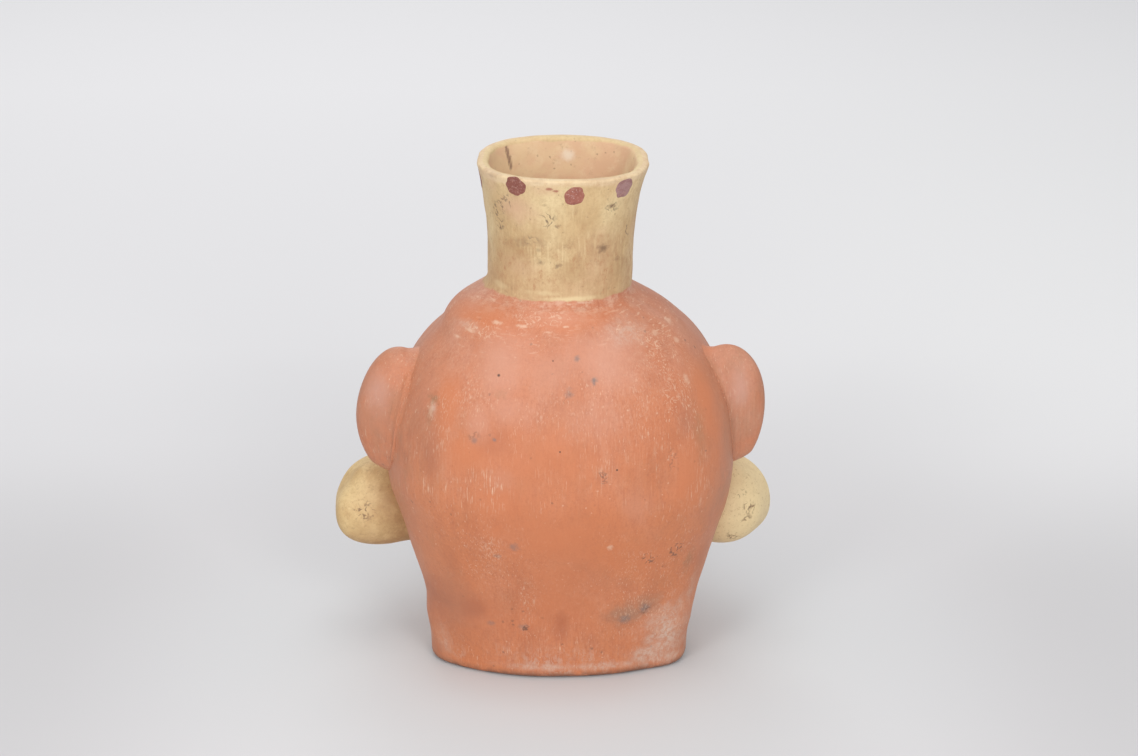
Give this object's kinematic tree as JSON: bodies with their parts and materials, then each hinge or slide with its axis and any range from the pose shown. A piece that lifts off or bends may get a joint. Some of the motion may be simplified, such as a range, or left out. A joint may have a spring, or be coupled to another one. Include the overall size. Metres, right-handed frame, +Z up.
{
  "type": "moche portrait vessel",
  "caption": "Ceramic head jar with a flared neck, a calm moulded face, modelled ears and round ear ornaments, standing on a flat foot.",
  "frame": {"origin": "on the ground plane, in the neck's axis and in the plane of the mould seam, which crosses the foot", "axes": "+Z up along the neck's axis; the face looks towards -Y and the plain back of the head towards +Y; +X is the figure's left"},
  "size_m": [0.1889, 0.1409, 0.22],
  "materials": {
    "red_slip": "burnished orange-red slip, worn and stained",
    "cream_slip": "matt cream slip with tan and brown stains",
    "dark_slip": "thin dark red slip, worn",
    "bare_clay": "plain fired clay, matt"
  },
  "bodies": {
    "root": {"back_shell": "red_slip", "face_shell": "red_slip", "floor_slab": "bare_clay", "floor_luting": "bare_clay", "left_seam_luting": "bare_clay", "right_seam_luting": "bare_clay", "neck_collar": "cream_slip", "neck_outer_luting": "cream_slip", "neck_inner_luting": "bare_clay", "left_ear": "red_slip", "right_ear": "red_slip", "left_ear_luting": "red_slip", "right_ear_luting": "red_slip", "left_ornament_cup": "cream_slip", "right_ornament_cup": "cream_slip", "left_ornament_disc": "cream_slip", "right_ornament_disc": "cream_slip", "rim_dots": "dark_slip"}
  },
  "joints": []
}
